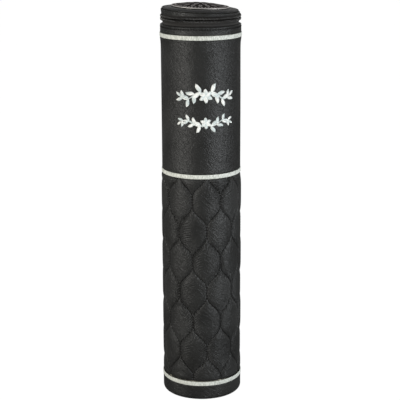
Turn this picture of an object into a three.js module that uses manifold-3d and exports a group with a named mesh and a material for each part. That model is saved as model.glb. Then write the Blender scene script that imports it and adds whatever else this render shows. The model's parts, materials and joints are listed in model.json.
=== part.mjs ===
// A tall round scroll case that stands on a flat base. A board tube is padded and wrapped in black
// leatherette, plain above and quilted below, with three silver ribbons. A zip runs round the mouth
// and the lid folds back on a leather tab.
// Millimetres, +Z up. The origin is the middle of the flat underside and the front faces -Y.
// Angles round the case are counted from the front, towards +X.

import * as THREE from 'three';
import { mergeVertices } from 'three/addons/utils/BufferGeometryUtils.js';
import Module from 'manifold-3d';

const wasm = await Module();
wasm.setup();

// Heights, from the underside up
const baseHeight = 16.3;
const trimWidth = 4.5;
const quiltHeight = 224.8;
const plainHeight = 138.7;
const collarHeight = 8.5;
const bareTape = 3.8;
const coilHeight = 2.45;
const coilSpacing = 1.1;
const lidGroove = 1;
const bandHeight = 3;

// Radii and walls
const caseRadius = 41.6;
const leatherThick = 1;
const foamThick = 1.2;
const boardWall = 2;
const liningThick = 0.8;
const tapeThick = 0.5;
const coilDepth = 2.2;
const trimThick = 0.5;
const trimSink = 0.4;
const collarProud = 0.5;
const fit = 0.3;

// Foot
const footCorner = 3.8;
const footFold = 6.2;
const footProud = 1;
const bottomBoardThick = 2.4;

// Mouth
const mouthDrop = 0.9;
const tapeMargin = 7;
const collarRoll = 1.2;
const mouthFlare = 0.7;
const flareHeight = 14;

// Quilting: stitched lines that meet in short upright joins
const quiltLines = 17;
const quiltRowPitch = 33.2;
const quiltTopRow = 24.6;
const quiltProud = 1;
const quiltSink = 0.6;
const quiltPinch = 0.5;
const quiltStraightShare = 0.16;
const quiltColumns = 4;
const quiltBulge = 2.4;
const quiltEdgeShare = 0.3;
const quiltTurn = THREE.MathUtils.degToRad(7.7);

// Embroidered ornament on the plain part: two leafy garlands
const ornamentTurn = THREE.MathUtils.degToRad(6.7);
const garlandHalf = 27;
const garlandGap = 28;
const garlandDrop = 56.3;
const vineWidth = 1.4;
const threadHeight = 0.6;
const upperGarland = { swing: 3.6, leaf: 10.5, leafWidth: 4.6, petal: 7.4 };
const lowerGarland = { swing: -2.8, leaf: 8.4, leafWidth: 3.8, petal: 6 };
const garlandPairs = 4;
const garlandPetals = 6;
const garlandWaves = 1;
const leafLean = THREE.MathUtils.degToRad(46);
const leafShrinkShare = 0.07;

// Lid top, which sits a little askew
const lidLean = THREE.MathUtils.degToRad(2.6);
const lidShift = 0.5;
const lidLiningLift = 1.25;
const lidBoardThick = 1.5;
const bandRoll = 0.6;
const weltRadius = 0.9;
const lidCrown = 2.1;
const medallionRadius = 30.1;
const rimWidth = 1;
const rimHeight = 0.8;
const medallionEdge = 0.6;
const medallionDome = 3.3;

// Hinge tab at the back, and the line it folds on
const tabArc = 40;
const tabOverlap = 7.6;
const tabThick = 0.8;
const hingeRise = 1.7;

// Zip slider and its pull
const sliderLength = 10;
const sliderLip = 0.4;
const sliderPlate = 1;
const sliderPlay = 0.5;
const sliderWeb = 0.5;
const sliderRest = 3.3;
const barRadius = 0.6;
const eyeWall = 0.6;
const postLength = 0.9;
const pullEyeWidth = 2.4;
const pullLength = 23;
const pullWidth = 5.4;
const pullThick = 1;
const pullHole = 1.5;

// Steps round a full ring, along a zip coil, across the hinge tab and in a small round section
const ringSteps = 40;
const coilSteps = 32;
const tabSteps = 8;
const roundSteps = 8;

// Levels
const quiltZ = baseHeight + trimWidth;
const middleTrimZ = quiltZ + quiltHeight;
const plainZ = middleTrimZ + trimWidth;
const topTrimZ = plainZ + plainHeight;
const collarZ = topTrimZ + trimWidth;
const collarTopZ = collarZ + collarHeight;
const lowerCoilZ = collarTopZ + bareTape;
const upperCoilZ = lowerCoilZ + coilHeight + coilSpacing;
const chainTopZ = upperCoilZ + coilHeight;
const chainMiddleZ = (lowerCoilZ + chainTopZ) / 2;
const bandZ = chainTopZ + lidGroove;
const bandTopZ = bandZ + bandHeight;
const boardTopZ = collarTopZ - mouthDrop - liningThick;
const bottomBoardZ = leatherThick + fit;
const bottomLiningZ = bottomBoardZ + bottomBoardThick + fit;

// Rings, from the outside in
const wrapInner = caseRadius - leatherThick;
const foamOuter = wrapInner - fit;
const foamInner = foamOuter - foamThick;
const boardOuter = foamInner - fit;
const boardInner = boardOuter - boardWall;
const liningOuter = boardInner - fit;
const liningInner = liningOuter - liningThick;
const footRadius = caseRadius + footProud;
const flareRadius = caseRadius + mouthFlare;
const tapeInner = boardOuter + fit;
const tapeOuter = tapeInner + tapeThick;
const coilInner = tapeOuter + fit;
const coilOuter = coilInner + coilDepth;
const collarOuter = caseRadius + collarProud;
const bandOuter = coilInner + leatherThick;

// Finishes
const finishes = {
  leatherette: { color: 0x2e2d2b, roughness: 0.5, metalness: 0 },
  ribbon: { color: 0xc9cdc6, roughness: 0.35, metalness: 0.6 },
  thread: { color: 0xc4c6c2, roughness: 0.4, metalness: 0.5 },
  board: { color: 0x8f8778, roughness: 0.9, metalness: 0 },
  foam: { color: 0xd8d4c6, roughness: 0.95, metalness: 0 },
  lining: { color: 0x1c1b1d, roughness: 1, metalness: 0 },
  tape: { color: 0x222120, roughness: 0.9, metalness: 0 },
  nylon: { color: 0x33312f, roughness: 0.45, metalness: 0 },
  enamel: { color: 0x1b1b1c, roughness: 0.3, metalness: 0.5 },
  relief: { color: 0x6b625f, roughness: 0.4, metalness: 0.6 },
  rim: { color: 0xa9a6a1, roughness: 0.3, metalness: 0.8 },
};

function finished(name, geometry, finish) {
  const mesh = new THREE.Mesh(geometry, new THREE.MeshStandardMaterial(finishes[finish]));
  mesh.name = name;
  return mesh;
}

function addTo(group, pieces) {
  for (const [name, geometry, finish] of pieces) group.add(finished(name, geometry, finish));
}

// Shared corners are merged, faces of no area dropped, and an inside-out shell turned out
function closedShell(geometry) {
  geometry.deleteAttribute('normal');
  geometry.deleteAttribute('uv');
  const shell = mergeVertices(geometry);
  const at = shell.getAttribute('position');
  const corner = [0, 1, 2].map(() => new THREE.Vector3());
  const faces = [];
  let volume = 0;
  for (let i = 0; i < shell.index.count; i += 3) {
    const [a, b, c] = [0, 1, 2].map((k) => shell.index.getX(i + k));
    if (a === b || b === c || c === a) continue;
    faces.push(a, b, c);
    [a, b, c].forEach((v, k) => corner[k].fromBufferAttribute(at, v));
    volume += corner[0].dot(corner[1].cross(corner[2]));
  }
  if (volume < 0) faces.reverse();
  shell.setIndex(faces);
  shell.computeVertexNormals();
  return shell;
}

function around(radius, angle, z) {
  return [radius * Math.sin(angle), -radius * Math.cos(angle), z];
}

// A closed outline of [radius, z] carried round the axis, right round or over part of the turn
function ring(outline, { start = 0, sweep = 2 * Math.PI, steps = ringSteps } = {}) {
  const flat = outline.map(([r, z]) => new THREE.Vector2(r, z));
  if (THREE.ShapeUtils.area(flat) < 0) flat.reverse();
  const whole = sweep > 2 * Math.PI - Number.EPSILON;
  const stations = whole ? steps : steps + 1;
  const n = flat.length;
  const points = [];
  const faces = [];
  for (let s = 0; s < stations; s += 1) {
    for (const { x, y } of flat) points.push(...around(x, start + (sweep * s) / steps, y));
  }
  for (let s = 0; s < steps; s += 1) {
    const here = s * n;
    const next = ((s + 1) % stations) * n;
    for (let k = 0; k < n; k += 1) {
      const m = (k + 1) % n;
      faces.push(here + k, next + k, next + m, here + k, next + m, here + m);
    }
  }
  if (!whole) {
    const last = steps * n;
    for (const triangle of THREE.ShapeUtils.triangulateShape(flat, [])) {
      const turn = THREE.ShapeUtils.area(triangle.map((k) => flat[k])) > 0;
      const [a, b, c] = turn ? triangle : [...triangle].reverse();
      faces.push(a, b, c, last + a, last + c, last + b);
    }
  }
  const geometry = new THREE.BufferGeometry();
  geometry.setAttribute('position', new THREE.Float32BufferAttribute(points, 3));
  geometry.setIndex(faces);
  return closedShell(geometry);
}

// An outline of [radius, z] that starts and ends on the axis
function turned(outline) {
  const profile = outline.map(([r, z]) => new THREE.Vector2(r, z));
  return closedShell(new THREE.LatheGeometry(profile, ringSteps).rotateX(Math.PI / 2));
}

function disc(radius, z, thick) {
  return turned([[0, z], [radius, z], [radius, z + thick], [0, z + thick]]);
}

function tube(inner, outer, z, top, options) {
  return ring([[inner, z], [outer, z], [outer, top], [inner, top]], options);
}

// Points on part of a circle, as [radius, z]
function arc(centre, radius, from, to, steps) {
  const points = [];
  for (let s = 0; s <= steps; s += 1) {
    const a = from + ((to - from) * s) / steps;
    points.push([centre[0] + radius * Math.cos(a), centre[1] + radius * Math.sin(a)]);
  }
  return points;
}

function toManifold(geometry) {
  const shell = closedShell(geometry);
  return new wasm.Manifold(new wasm.Mesh({
    numProp: 3,
    vertProperties: new Float32Array(shell.getAttribute('position').array),
    triVerts: new Uint32Array(shell.index.array),
  }));
}

function joined(geometries) {
  const solids = geometries.map(toManifold);
  const mesh = solids.slice(1).reduce((sum, next) => sum.add(next), solids[0]).getMesh();
  const geometry = new THREE.BufferGeometry();
  geometry.setAttribute('position', new THREE.BufferAttribute(mesh.vertProperties, 3));
  geometry.setIndex(new THREE.BufferAttribute(mesh.triVerts, 1));
  return closedShell(geometry);
}

// Board tube, its floor, the padding round it and the lining inside, turned over the mouth
function makeCore() {
  const foot = bottomBoardZ + fit;
  const foamFoot = footCorner + leatherThick + fit;
  const liningZ = bottomLiningZ + liningThick + fit;
  const overMouth = boardTopZ + fit;
  const core = new THREE.Group();
  addTo(core, [
    ['core_tube', tube(boardInner, boardOuter, foot, boardTopZ), 'board'],
    ['bottom_board', disc(liningOuter, bottomBoardZ, bottomBoardThick), 'board'],
    ['foam_wrap', tube(foamInner, foamOuter, foamFoot, collarZ - fit), 'foam'],
    ['bottom_lining', disc(liningOuter, bottomLiningZ, liningThick), 'lining'],
    ['tube_lining', ring([
      [liningInner, liningZ],
      [liningOuter, liningZ],
      [liningOuter, overMouth],
      [boardOuter, overMouth],
      [boardOuter, overMouth + liningThick],
      [liningInner, overMouth + liningThick],
    ]), 'lining'],
  ]);
  return core;
}

// Leatherette foot: a rounded corner turned under a round underside
function makeFoot() {
  const footInner = caseRadius - footCorner - footFold;
  const corner = [footRadius - footCorner, footCorner];
  const insideCorner = footCorner - leatherThick;
  const foot = new THREE.Group();
  addTo(foot, [
    ['base_cover', ring([
      [footInner, 0],
      ...arc(corner, footCorner, -Math.PI / 2, 0, 3),
      [footRadius, baseHeight - fit - trimSink],
      [footRadius - trimSink, baseHeight - fit],
      [footRadius - trimSink, quiltZ - fit],
      [wrapInner, quiltZ - fit],
      ...arc([wrapInner - insideCorner, footCorner], insideCorner, 0, -Math.PI / 2, 2),
      [footInner, leatherThick],
    ]), 'leatherette'],
    ['underside_disc', disc(footInner - fit, 0, leatherThick), 'leatherette'],
  ]);
  return foot;
}

// Which way the stitched lines have swung at a height: 1 and -1 at the joins of alternate rows
function quiltSwing(z) {
  const rows = (middleTrimZ - quiltTopRow - z) / quiltRowPitch;
  const nearest = Math.round(rows);
  const free = (Math.abs(rows - nearest) - quiltStraightShare) / (0.5 - quiltStraightShare);
  const side = nearest % 2 === 0 ? -1 : 1;
  return side * Math.cos((Math.PI / 2) * THREE.MathUtils.clamp(free, 0, 1));
}

// Places of the seam at the back and of each stitched line after it, at a height, in widths of a line
function quiltPlaces(z) {
  const width = (2 * Math.PI * caseRadius) / quiltLines;
  const reach = 0.5 - quiltPinch / width;
  const lines = Array.from({ length: quiltLines }, (_, i) => {
    const side = i % 2 === 0 ? 1 : -1;
    return i + 0.5 + side * reach * quiltSwing(z);
  });
  return [0, ...lines, quiltLines];
}

// How far a place has swelled: 0 on a stitched line, 1 on the crown of a cell two lines wide
function quiltSwell(place, places) {
  const next = places.findIndex((line, i) => i > 0 && line >= place);
  const gap = places[next] - places[next - 1];
  const share = (place - places[next - 1]) / gap;
  const full = Math.sin((Math.PI / 2) * Math.min(1, gap / 2));
  return full * (1 - Math.abs(2 * share - 1) ** quiltBulge);
}

// Levels where the quilting is sampled: both ends of each join, half way between rows, and between those
function quiltLevels(bottom, top) {
  const straight = quiltStraightShare * quiltRowPitch;
  const half = quiltRowPitch / 2;
  const firstRow = middleTrimZ - quiltTopRow;
  const between = (straight + half) / 2;
  const levels = [firstRow + half, firstRow + between];
  for (let z = firstRow; z > bottom; z -= quiltRowPitch) {
    levels.push(z + straight, z - straight, z - between, z - half, z - quiltRowPitch + between);
  }
  return [top, ...levels.filter((z) => z < top - fit && z > bottom + fit), bottom];
}

// Quilted sleeve: each cell swells between its lines and is drawn in where it is stitched
function makeQuilt() {
  const step = (2 * Math.PI) / quiltLines;
  const seam = quiltTurn + ((quiltLines - 1) / 2) * step;
  const count = quiltLines * quiltColumns;
  const crown = quiltProud + quiltSink;
  const bottom = quiltZ + fit;
  const top = middleTrimZ - fit;
  const outside = quiltLevels(bottom, top).map((z) => {
    const places = quiltPlaces(z);
    const held = z === top || z === bottom ? quiltEdgeShare : 1;
    return Array.from({ length: count }, (_, k) => {
      const rise = crown * held * quiltSwell(k / quiltColumns, places);
      return around(caseRadius - quiltSink + rise, seam + (step * k) / quiltColumns, z);
    });
  });
  const inside = [bottom, top].map((z) => Array.from({ length: count }, (_, k) => (
    around(wrapInner, seam + (step * k) / quiltColumns, z)
  )));
  const rows = [...outside, ...inside];
  const faces = [];
  rows.forEach((row, r) => {
    const here = r * count;
    const below = ((r + 1) % rows.length) * count;
    for (let k = 0; k < count; k += 1) {
      const m = (k + 1) % count;
      faces.push(here + k, below + k, below + m, here + k, below + m, here + m);
    }
  });
  const geometry = new THREE.BufferGeometry();
  geometry.setAttribute('position', new THREE.Float32BufferAttribute(rows.flat(2), 3));
  geometry.setIndex(faces);
  return finished('quilted_sleeve', closedShell(geometry), 'leatherette');
}

// Plain leatherette, the collar at the mouth and the three ribbons over the joins
function makeWraps() {
  const roll = [collarOuter - collarRoll, collarTopZ - collarRoll];
  const flareShares = [[0, 0], [0.5, 0.25], [1, 1]];
  const flareTop = topTrimZ - fit - trimSink;
  const flare = flareShares.map(([up, out]) => [
    caseRadius + mouthFlare * out,
    flareTop - flareHeight * (1 - up),
  ]);
  const wraps = new THREE.Group();
  addTo(wraps, [
    ['upper_wrap', ring([
      [wrapInner, middleTrimZ + fit],
      [caseRadius - trimSink, middleTrimZ + fit],
      [caseRadius - trimSink, plainZ + fit],
      [caseRadius, plainZ + fit + trimSink],
      ...flare,
      [flareRadius - trimSink, topTrimZ - fit],
      [flareRadius - trimSink, collarZ - fit],
      [wrapInner, collarZ - fit],
    ]), 'leatherette'],
    ['collar_band', ring([
      [coilInner, collarZ + fit],
      [collarOuter, collarZ + fit],
      ...arc(roll, collarRoll, 0, Math.PI / 2, 2),
      [coilInner, collarTopZ],
    ]), 'leatherette'],
  ]);
  const trims = [
    ['trim_bottom', footRadius, baseHeight],
    ['trim_middle', caseRadius, middleTrimZ],
    ['trim_top', flareRadius, topTrimZ],
  ];
  for (const [name, radius, z] of trims) {
    const inner = radius - trimSink + fit;
    wraps.add(finished(name, tube(inner, inner + trimThick, z, z + trimWidth), 'ribbon'));
  }
  return wraps;
}

// A pointed leaf that starts at a place and grows in a direction
function leafSolid(length, width, turn, x = 0, y = 0) {
  const shape = new THREE.Shape();
  shape.moveTo(0, 0);
  shape.quadraticCurveTo(length / 2, -width, length, 0);
  shape.quadraticCurveTo(length / 2, width, 0, 0);
  const options = { depth: threadHeight, bevelEnabled: false, curveSegments: 4 };
  return new THREE.ExtrudeGeometry(shape, options).rotateZ(turn).translate(x, y, 0);
}

// The wavy stem, as wide as it is named all along
function vineSolid(heightAt) {
  const steps = 24;
  const edges = [-1, 1].map((side) => Array.from({ length: steps + 1 }, (_, s) => {
    const x = garlandHalf * ((2 * s) / steps - 1);
    return new THREE.Vector2(x, heightAt(x) + (side * vineWidth) / 2);
  }));
  const shape = new THREE.Shape([...edges[0], ...edges[1].reverse()]);
  return new THREE.ExtrudeGeometry(shape, { depth: threadHeight, bevelEnabled: false });
}

// One garland: a wavy stem with a rosette in the middle, pairs of leaves and a leaf at each end
function makeGarland(name, z, { swing, leaf, leafWidth, petal }) {
  const firstPairShare = 0.85;
  const endGapShare = 0.4;
  const pairPitch = garlandHalf / (garlandPairs + endGapShare);
  const turns = (2 * Math.PI * garlandWaves) / garlandHalf;
  const heightAt = (x) => swing * Math.sin(turns * Math.abs(x));
  const slopeAt = (x) => Math.atan(swing * turns * Math.cos(turns * x));
  const solids = [vineSolid(heightAt)];
  for (let k = 0; k < garlandPetals; k += 1) {
    solids.push(leafSolid(petal, leafWidth, (2 * Math.PI * (k + 0.5)) / garlandPetals));
  }
  for (let k = 0; k <= garlandPairs; k += 1) {
    const last = k === garlandPairs;
    const x = last ? garlandHalf - vineWidth : pairPitch * (k + firstPairShare);
    const size = 1 - leafShrinkShare * k;
    for (const lean of last ? [0] : [leafLean, -leafLean]) {
      const turn = slopeAt(x) + lean;
      for (const [side, facing] of [[1, turn], [-1, Math.PI - turn]]) {
        solids.push(leafSolid(leaf * size, leafWidth * size, facing, side * x, heightAt(x)));
      }
    }
  }
  const geometry = joined(solids);
  const at = geometry.getAttribute('position');
  for (let i = 0; i < at.count; i += 1) {
    const angle = ornamentTurn + at.getX(i) / caseRadius;
    at.setXYZ(i, ...around(caseRadius + fit + at.getZ(i), angle, z + at.getY(i)));
  }
  return finished(name, geometry, 'thread');
}

function makeOrnament() {
  const ornament = new THREE.Group();
  const upperZ = topTrimZ - garlandDrop;
  ornament.add(makeGarland('garland_upper', upperZ, upperGarland));
  ornament.add(makeGarland('garland_lower', upperZ - garlandGap, lowerGarland));
  return ornament;
}

// One half of the zip chain: a tape right round, and a coil that stops short of the hinge tab
function coilSolid(z) {
  const half = Math.PI - (tabArc / 2 + fit) / collarOuter;
  const crownShare = 0.2;
  const shoulderShare = 0.55;
  const inset = coilHeight * crownShare;
  const shoulder = coilInner + coilDepth * shoulderShare;
  return ring([
    [coilInner, z],
    [shoulder, z],
    [coilOuter, z + inset],
    [coilOuter, z + coilHeight - inset],
    [shoulder, z + coilHeight],
    [coilInner, z + coilHeight],
  ], { start: -half, sweep: 2 * half, steps: coilSteps });
}

function makeLowerChain() {
  const chain = new THREE.Group();
  const top = lowerCoilZ + coilHeight;
  addTo(chain, [
    ['lower_zip_tape', tube(tapeInner, tapeOuter, collarTopZ - tapeMargin, top), 'tape'],
    ['lower_zip_coil', coilSolid(lowerCoilZ), 'nylon'],
  ]);
  return chain;
}

// Leatherette tab that joins the lid to the case at the back and bends on the fold line
function makeHingeTab() {
  const low = collarOuter + fit;
  const high = bandOuter + fit;
  const foldZ = chainMiddleZ + hingeRise;
  const half = tabArc / 2 / collarOuter;
  const tab = ring([
    [low, collarTopZ - tabOverlap],
    [low + tabThick, collarTopZ - tabOverlap],
    [low + tabThick, foldZ],
    [high + tabThick, bandZ],
    [high + tabThick, bandTopZ - bandRoll],
    [high, bandTopZ - bandRoll],
    [high, bandZ],
    [low, foldZ],
  ], { start: Math.PI - half, sweep: 2 * half, steps: tabSteps });
  return finished('hinge_tab', tab, 'leatherette');
}

// Side band of the lid: level at the zip, leaning with the lid top at its upper edge
function makeLidBand() {
  const band = ring([
    [coilInner, bandZ],
    [bandOuter, bandZ],
    [bandOuter, bandTopZ - bandRoll],
    [bandOuter - bandRoll, bandTopZ],
    [coilInner, bandTopZ],
  ]);
  const at = band.getAttribute('position');
  for (let i = 0; i < at.count; i += 1) {
    const share = (at.getZ(i) - bandZ) / bandHeight;
    at.setZ(i, at.getZ(i) - share * at.getX(i) * Math.tan(lidLean));
    at.setX(i, at.getX(i) - share * lidShift);
  }
  return finished('lid_side_band', band, 'leatherette');
}

// A low dome's outline from its edge to the axis, as [radius, z]
function crownOutline(radius, z, rise) {
  const crownShares = [[1, 0], [0.995, 0.25], [0.96, 0.55], [0.9, 0.8], [0.82, 0.96], [0, 1]];
  return crownShares.map(([r, h]) => [radius * r, z + rise * h]);
}

// Pieces of the lid top, which lean together
function makeLidTop() {
  const liningZ = bandZ + lidLiningLift;
  const boardZ = liningZ + liningThick + fit;
  const padZ = boardZ + lidBoardThick + fit;
  const weltCentre = coilInner - weltRadius;
  const coverRadius = weltCentre - weltRadius - fit;
  const padRadius = coverRadius - leatherThick;
  const padRise = lidCrown - leatherThick;
  const seatZ = padZ + lidCrown + fit;
  const plateRadius = medallionRadius - rimWidth - fit;
  const domeShares = [1, 0.75, 0.5, 0.25, 0];
  const top = new THREE.Group();
  addTo(top, [
    ['lid_lining', disc(tapeInner - fit - lidShift, liningZ, liningThick), 'lining'],
    ['lid_board', disc(coverRadius, boardZ, lidBoardThick), 'board'],
    ['lid_foam', turned([
      [0, padZ],
      ...crownOutline(padRadius - fit, padZ, padRise - fit),
    ]), 'foam'],
    ['lid_cover', turned([
      ...crownOutline(padRadius, padZ, padRise).reverse(),
      ...crownOutline(coverRadius, padZ, lidCrown),
    ]), 'leatherette'],
    ['lid_welt', ring(
      arc([weltCentre, bandTopZ + weltRadius], weltRadius, 0, 2 * Math.PI, roundSteps).slice(1),
    ), 'leatherette'],
    ['medallion_rim', tube(
      medallionRadius - rimWidth,
      medallionRadius,
      seatZ,
      seatZ + rimHeight,
    ), 'rim'],
    ['medallion_plate', turned([
      [0, seatZ],
      [plateRadius, seatZ],
      ...domeShares.map((share) => [
        plateRadius * share,
        seatZ + medallionEdge + medallionDome * (1 - share * share),
      ]),
    ]), 'relief'],
  ]);
  const pivot = new THREE.Group();
  top.position.z = -bandTopZ;
  pivot.position.set(-lidShift, 0, bandTopZ);
  pivot.rotation.y = lidLean;
  return pivot.add(top);
}

function makeLid() {
  const lid = new THREE.Group();
  const tapeInBandShare = 0.15;
  const tapeTop = bandZ + bandHeight * tapeInBandShare;
  addTo(lid, [
    ['upper_zip_tape', tube(tapeInner, tapeOuter, upperCoilZ, tapeTop), 'tape'],
    ['upper_zip_coil', coilSolid(upperCoilZ), 'nylon'],
  ]);
  return lid.add(makeLidBand(), makeLidTop());
}

// Zip slider, made at the front: two plates, the web between the coils and the bar for the pull
const barCentre = coilOuter + sliderPlay + sliderPlate + fit + barRadius + fit + eyeWall;

function makeSlider() {
  const half = sliderLength / 2 / coilOuter;
  const sector = { start: -half, sweep: 2 * half, steps: 2 };
  const webSector = { start: -half / 2, sweep: half, steps: 1 };
  const low = lowerCoilZ - sliderLip;
  const high = chainTopZ + sliderLip;
  const outside = coilOuter + sliderPlay;
  const inside = tapeInner - fit;
  const post = barCentre - outside - sliderPlate / 2;
  const postX = pullEyeWidth / 2 + fit + postLength / 2;
  const barLength = pullEyeWidth + 2 * (fit + postLength);
  const bar = new THREE.CylinderGeometry(barRadius, barRadius, barLength, roundSteps);
  const pieces = [
    tube(outside, outside + sliderPlate, low, high, sector),
    tube(inside - sliderPlate, inside, low, high, sector),
    tube(
      inside - sliderPlate / 2,
      outside + sliderPlate / 2,
      chainMiddleZ - sliderWeb / 2,
      chainMiddleZ + sliderWeb / 2,
      webSector,
    ),
    bar.rotateZ(Math.PI / 2).translate(0, -barCentre, chainMiddleZ),
  ];
  for (const side of [1, -1]) {
    const block = new THREE.BoxGeometry(postLength, post, 2 * barRadius);
    pieces.push(block.translate(side * postX, -(barCentre - post / 2), chainMiddleZ));
  }
  return finished('zip_slider', joined(pieces), 'enamel');
}

// Pull, made hanging from the bar at the front: a round eye and a flat tab with a hole
function makePull() {
  const eyeOuter = barRadius + fit + eyeWall;
  const eye = new THREE.Shape().absarc(0, 0, eyeOuter, 0, 2 * Math.PI);
  eye.holes.push(new THREE.Path().absarc(0, 0, barRadius + fit, 0, 2 * Math.PI));
  const eyeOptions = { depth: pullEyeWidth, bevelEnabled: false, curveSegments: roundSteps };
  const eyeSolid = new THREE.ExtrudeGeometry(eye, eyeOptions).translate(0, 0, -pullEyeWidth / 2);
  const neck = pullEyeWidth / 2;
  const half = pullWidth / 2;
  const clear = eyeOuter + fit + postLength;
  const tab = new THREE.Shape();
  tab.moveTo(-neck, -barRadius - fit - eyeWall / 2);
  tab.lineTo(-neck, -clear);
  tab.lineTo(-half, -clear - half + neck);
  tab.absarc(0, half - pullLength, half, Math.PI, 2 * Math.PI);
  tab.lineTo(half, -clear - half + neck);
  tab.lineTo(neck, -clear);
  tab.lineTo(neck, -barRadius - fit - eyeWall / 2);
  tab.holes.push(new THREE.Path().absarc(0, half - pullLength, pullHole, 0, 2 * Math.PI));
  const tabOptions = { depth: pullThick, bevelEnabled: false, curveSegments: roundSteps };
  const tabSolid = new THREE.ExtrudeGeometry(tab, tabOptions).translate(0, 0, -pullThick / 2);
  const pull = joined([eyeSolid.rotateY(Math.PI / 2), tabSolid.rotateX(Math.PI / 2)]);
  return finished('pull_tab', pull.translate(0, -barCentre, chainMiddleZ), 'enamel');
}

// The slider waits just past the end of the coils, beside the hinge tab
const sliderAngle = Math.PI - (tabArc / 2 + sliderRest + sliderLength / 2) / coilOuter;

const scrollCase = new THREE.Group();
scrollCase.add(makeCore(), makeFoot(), makeQuilt(), makeWraps(), makeOrnament());
scrollCase.add(makeLowerChain(), makeHingeTab(), makeLid());
const zipHead = new THREE.Group();
zipHead.add(makeSlider(), makePull());
zipHead.rotation.z = sliderAngle;
scrollCase.add(zipHead);

export default scrollCase;
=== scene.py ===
# A tall round scroll case in black leatherette: quilted below, plain above, with a zipped lid.
import json
import math

import bpy
import numpy as np
from mathutils import Euler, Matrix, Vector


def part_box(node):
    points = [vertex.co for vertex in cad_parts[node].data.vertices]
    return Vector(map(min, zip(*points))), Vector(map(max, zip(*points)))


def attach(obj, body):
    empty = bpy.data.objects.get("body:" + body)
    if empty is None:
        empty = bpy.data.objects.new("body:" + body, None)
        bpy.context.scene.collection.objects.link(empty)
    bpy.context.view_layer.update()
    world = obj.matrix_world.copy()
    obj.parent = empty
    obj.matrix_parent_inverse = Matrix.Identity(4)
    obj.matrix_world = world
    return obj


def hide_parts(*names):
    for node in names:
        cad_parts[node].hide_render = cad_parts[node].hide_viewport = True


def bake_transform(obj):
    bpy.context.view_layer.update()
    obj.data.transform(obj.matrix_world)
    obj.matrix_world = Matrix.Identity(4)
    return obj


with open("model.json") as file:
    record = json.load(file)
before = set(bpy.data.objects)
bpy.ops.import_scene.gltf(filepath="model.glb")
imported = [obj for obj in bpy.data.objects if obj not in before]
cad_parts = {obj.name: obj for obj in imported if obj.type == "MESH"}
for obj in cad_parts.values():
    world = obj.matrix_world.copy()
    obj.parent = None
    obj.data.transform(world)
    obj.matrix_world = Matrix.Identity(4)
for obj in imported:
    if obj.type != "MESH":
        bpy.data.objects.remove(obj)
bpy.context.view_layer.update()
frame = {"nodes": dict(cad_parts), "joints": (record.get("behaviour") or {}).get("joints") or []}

mm = 0.001
fullTurn = 2 * np.pi
print("frame loaded")


# Colours and nodes

def toLinear(hexColour):
    # Each sRGB channel becomes linear: a straight foot, then a power curve.
    channels = np.array([int(hexColour[i:i + 2], 16) for i in (1, 3, 5)]) / 255
    curve = np.where(channels <= 0.04045, channels / 12.92, ((channels + 0.055) / 1.055) ** 2.4)
    return (*curve.tolist(), 1.0)


def addNode(tree, kind, inputs=None, output=0, **settings):
    # A node with its settings and its inputs, linked or set. It hands back one output, if it has any.
    node = tree.nodes.new("ShaderNode" + kind)
    for key, value in settings.items():
        setattr(node, key, value)
    for key, value in (inputs or {}).items():
        if isinstance(value, bpy.types.NodeSocket):
            tree.links.new(value, node.inputs[key])
        else:
            node.inputs[key].default_value = value
    return node.outputs[output] if node.outputs else None


def newFinish(name, slotName, **shaderValues):
    # A material with its shader and the place on the object
    finish = bpy.data.materials.new(name)
    finish.use_nodes = True
    tree = finish.node_tree
    shader = tree.nodes["Principled BSDF"]
    for key, value in shaderValues.items():
        shader.inputs[key.replace("_", " ")].default_value = value
    return finish, tree, shader, addNode(tree, "TexCoord", output="Object")


def pattern(tree, place, source):
    # A value from (texture, real size, its other settings), or from an attribute kept on the mesh
    if isinstance(source, str):
        return addNode(tree, "Attribute", output="Fac", attribute_name=source)
    kind, size, settings = source
    return addNode(tree, "Tex" + kind, {"Vector": place, "Scale": 1 / size, **settings})


def linkShader(tree, shader, *values):
    for name, value in zip(("Base Color", "Roughness", "Normal"), values):
        tree.links.new(value, shader.inputs[name])


def wireUp(tree, shader, colour, rough, roughness, relief, bump):
    # A colour, a value that sets the roughness between two ends, and a relief of a strength and a depth
    ranged = addNode(tree, "MapRange", {"Value": rough, "To Min": roughness[0], "To Max": roughness[1]})
    raised = addNode(tree, "Bump", {"Height": relief, "Strength": bump[0], "Distance": bump[1]})
    linkShader(tree, shader, colour, ranged, raised)


def patternedFinish(name, slotName, tones, roughness, source, bump, tone=None, ripple=None, **shaderValues):
    # One pattern drives the roughness, and the tone and the relief too where those have none of their own
    finish, tree, shader, place = newFinish(name, slotName, **shaderValues)
    main = pattern(tree, place, source)
    shades = {0: pattern(tree, place, tone) if tone else main, 6: toLinear(tones[0]), 7: toLinear(tones[1])}
    relief = pattern(tree, place, ripple) if ripple else main
    colour = addNode(tree, "Mix", shades, output=2, data_type="RGBA")
    wireUp(tree, shader, colour, main, roughness, relief, bump)
    return finish


# Meshes

def around(radius, angle, height):
    # A point at a radius from the axis, an angle from the front towards +X, and a height
    radius, angle, height = np.broadcast_arrays(radius, angle, height)
    return np.stack([radius * np.sin(angle), -radius * np.cos(angle), height], axis=-1)


def turnSteps(count):
    # The angles of equal steps round a full turn
    return np.arange(count) * fullTurn / count


def bell(distance, width):
    # 1 at no distance, and less both ways: e to the power of minus the square
    return np.exp(-(distance / width) ** 2)


def turnAxes(angle):
    # The directions at an angle round the axis: level along the turn, and straight out
    return around(1.0, angle + np.pi / 2, 0.0), around(1.0, angle, 0.0)


def unit(vectors):
    return vectors / np.linalg.norm(vectors, axis=-1, keepdims=True)


def squareCircle(turn, power):
    # A circle drawn out towards a square: its cosine and sine, each to a power with its sign kept
    return [np.sign(wave) * np.abs(wave) ** power for wave in (np.cos(turn), np.sin(turn))]


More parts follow.
